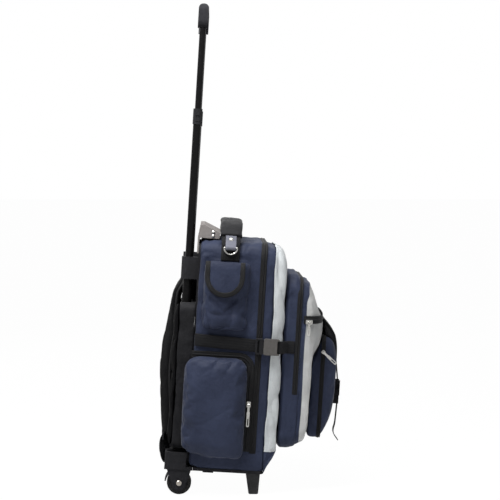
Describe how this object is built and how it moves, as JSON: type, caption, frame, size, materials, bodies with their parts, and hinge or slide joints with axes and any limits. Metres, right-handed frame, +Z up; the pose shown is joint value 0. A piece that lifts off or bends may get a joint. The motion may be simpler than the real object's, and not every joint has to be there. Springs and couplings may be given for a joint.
{
  "type": "wheeled_trolley_backpack",
  "caption": "Wheeled trolley backpack with zipped compartments, side pockets, padded back and shoulder straps, buckled straps and a two-stage pull-out handle",
  "frame": {"origin": "on the floor, under the middle of the bounding box", "axes": "+Z up, front of the bag towards -Y, left side towards -X"},
  "size_m": [0.3746, 0.383, 1.0119],
  "materials": {
    "black_plastic": "moulded, matte",
    "grey_plastic": "moulded, satin",
    "buckle_grey": "moulded, satin",
    "button_grey": "moulded, satin",
    "tube_black": "gloss black powder coat",
    "nickel": "bright nickel plate",
    "steel": "zinc-plated",
    "tyre_rubber": "moulded rubber",
    "board": "extruded sheet",
    "navy_fabric": "woven polyester",
    "silver_fabric": "coated woven polyester",
    "zip_tape": "woven zip tape",
    "webbing": "woven webbing",
    "black_fabric": "padded mesh fabric",
    "grey_vinyl": "coated vinyl"
  },
  "bodies": {
    "bag": {"chassis_plate": "black_plastic", "wheel_housing_left": "black_plastic", "wheel_housing_right": "black_plastic", "front_feet": "black_plastic", "axle_pins": "steel", "outer_tubes": "tube_black", "tube_keepers": "black_plastic", "top_bracket": "grey_plastic", "rivets": "nickel", "frame_board": "board", "main_compartment": "navy_fabric", "main_zip_tape": "zip_tape", "main_front_panel": "silver_fabric", "second_compartment": "navy_fabric", "second_zip_tape": "zip_tape", "second_front_panel": "silver_fabric", "front_zip_tapes": "zip_tape", "front_pocket": "navy_fabric", "front_flap": "black_fabric", "front_strap": "webbing", "front_buckle_socket": "black_plastic", "side_pockets": "navy_fabric", "side_zip_tapes": "zip_tape", "phone_pockets": "navy_fabric", "side_straps": "webbing", "side_buckle_sockets": "buckle_grey", "back_shell": "black_plastic", "back_pads": "black_fabric", "shoulder_strap_left": "black_fabric", "shoulder_strap_right": "black_fabric", "strap_adjusters": "webbing", "carry_handle": "webbing", "carry_wrap": "black_fabric", "handle_tabs": "grey_vinyl", "zip_sliders": "nickel"},
    "middle_stage": {"middle_tubes": "tube_black", "middle_collars": "black_plastic"},
    "grip_stage": {"inner_tubes": "tube_black", "trolley_grip": "black_plastic"},
    "release_button": {"grip_button": "button_grey"},
    "wheel_left": {"wheel_tyre_left": "tyre_rubber", "wheel_hub_left": "black_plastic"},
    "wheel_right": {"wheel_tyre_right": "tyre_rubber", "wheel_hub_right": "black_plastic"},
    "side_plug_left": {"side_buckle_plug_left": "black_plastic"},
    "side_plug_right": {"side_buckle_plug_right": "black_plastic"},
    "front_plug": {"front_buckle_plug": "black_plastic", "front_strap_tail": "webbing"},
    "lid_left": {"phone_flap_left": "navy_fabric"},
    "lid_right": {"phone_flap_right": "navy_fabric"},
    "ring_left": {"d_ring_left": "nickel"},
    "ring_right": {"d_ring_right": "nickel"},
    "slider_left": {"side_slider_left": "nickel"},
    "slider_right": {"side_slider_right": "nickel"},
    "pull_left": {"side_pull_left": "nickel"},
    "pull_right": {"side_pull_right": "nickel"},
    "pull_front": {"front_pull": "nickel"},
    "pull_pocket": {"pocket_pull": "nickel"},
    "pull_main": {"main_pull": "nickel"},
    "pull_second": {"second_pull": "nickel"}
  },
  "joints": [
    {"name": "middle_tube_slide", "type": "slide", "parent": "bag", "child": "middle_stage", "axis": [0, -0.061, 0.9981], "range_m": [-0.271, 0]},
    {"name": "inner_tube_slide", "type": "slide", "parent": "middle_stage", "child": "grip_stage", "axis": [0, -0.061, 0.9981], "range_m": [-0.164, 0]},
    {"name": "button_press", "type": "slide", "parent": "grip_stage", "child": "release_button", "axis": [0, -0.061, 0.9981], "range_m": [-0.0032, 0], "stiffness_N_per_m": 900, "springref_m": 0.0004},
    {"name": "wheel_left_spin", "type": "hinge", "parent": "bag", "child": "wheel_left", "pos_m": [-0.128, 0.14805, 0.025], "axis": [1, 0, 0], "continuous": true},
    {"name": "wheel_right_spin", "type": "hinge", "parent": "bag", "child": "wheel_right", "pos_m": [0.128, 0.14805, 0.025], "axis": [1, 0, 0], "continuous": true},
    {"name": "side_buckle_left_release", "type": "slide", "parent": "bag", "child": "side_plug_left", "axis": [0, 0.9981, 0.061], "range_m": [0, 0.026]},
    {"name": "side_buckle_right_release", "type": "slide", "parent": "bag", "child": "side_plug_right", "axis": [0, 0.9981, 0.061], "range_m": [0, 0.026]},
    {"name": "front_buckle_release", "type": "slide", "parent": "bag", "child": "front_plug", "axis": [0, 0.061, -0.9981], "range_m": [0, 0.026]},
    {"name": "lid_left_lift", "type": "hinge", "parent": "bag", "child": "lid_left", "pos_m": [-0.1787, 0.0521, 0.47989], "axis": [0, 0.9981, 0.061], "range_deg": [0, 120]},
    {"name": "ring_left_swing", "type": "hinge", "parent": "bag", "child": "ring_left", "pos_m": [-0.1586, 0.04134, 0.50829], "axis": [0, 0.9981, 0.061], "range_deg": [0, 95]},
    {"name": "side_zip_left_slide", "type": "slide", "parent": "bag", "child": "slider_left", "axis": [0, -0.061, 0.9981], "range_m": [-0.04, 0.062]},
    {"name": "side_pull_left_swing", "type": "hinge", "parent": "slider_left", "child": "pull_left", "pos_m": [-0.1571, 0.00486, 0.18746], "axis": [0, 0.9981, 0.061], "range_deg": [0, 150]},
    {"name": "lid_right_lift", "type": "hinge", "parent": "bag", "child": "lid_right", "pos_m": [0.1787, 0.0521, 0.47989], "axis": [0, -0.9981, -0.061], "range_deg": [0, 120]},
    {"name": "ring_right_swing", "type": "hinge", "parent": "bag", "child": "ring_right", "pos_m": [0.1586, 0.04134, 0.50829], "axis": [0, -0.9981, -0.061], "range_deg": [0, 95]},
    {"name": "side_zip_right_slide", "type": "slide", "parent": "bag", "child": "slider_right", "axis": [0, -0.061, 0.9981], "range_m": [-0.04, 0.062]},
    {"name": "side_pull_right_swing", "type": "hinge", "parent": "slider_right", "child": "pull_right", "pos_m": [0.1571, 0.00486, 0.18746], "axis": [0, -0.9981, -0.061], "range_deg": [0, 150]},
    {"name": "front_pull_swing", "type": "hinge", "parent": "bag", "child": "pull_front", "pos_m": [-0.1425, -0.11958, 0.35468], "axis": [0, 0.9981, 0.061], "range_deg": [0, 150]},
    {"name": "pocket_pull_swing", "type": "hinge", "parent": "bag", "child": "pull_pocket", "pos_m": [-0.1018, -0.15124, 0.28912], "axis": [0, 0.6884, -0.7254], "range_deg": [0, 120]},
    {"name": "main_pull_swing", "type": "hinge", "parent": "bag", "child": "pull_main", "pos_m": [0.1566, -0.01179, 0.23854], "axis": [0, -0.9981, -0.061], "range_deg": [0, 150]},
    {"name": "second_pull_swing", "type": "hinge", "parent": "bag", "child": "pull_second", "pos_m": [0.1426, -0.09114, 0.23369], "axis": [0, -0.9981, -0.061], "range_deg": [0, 150]}
  ]
}
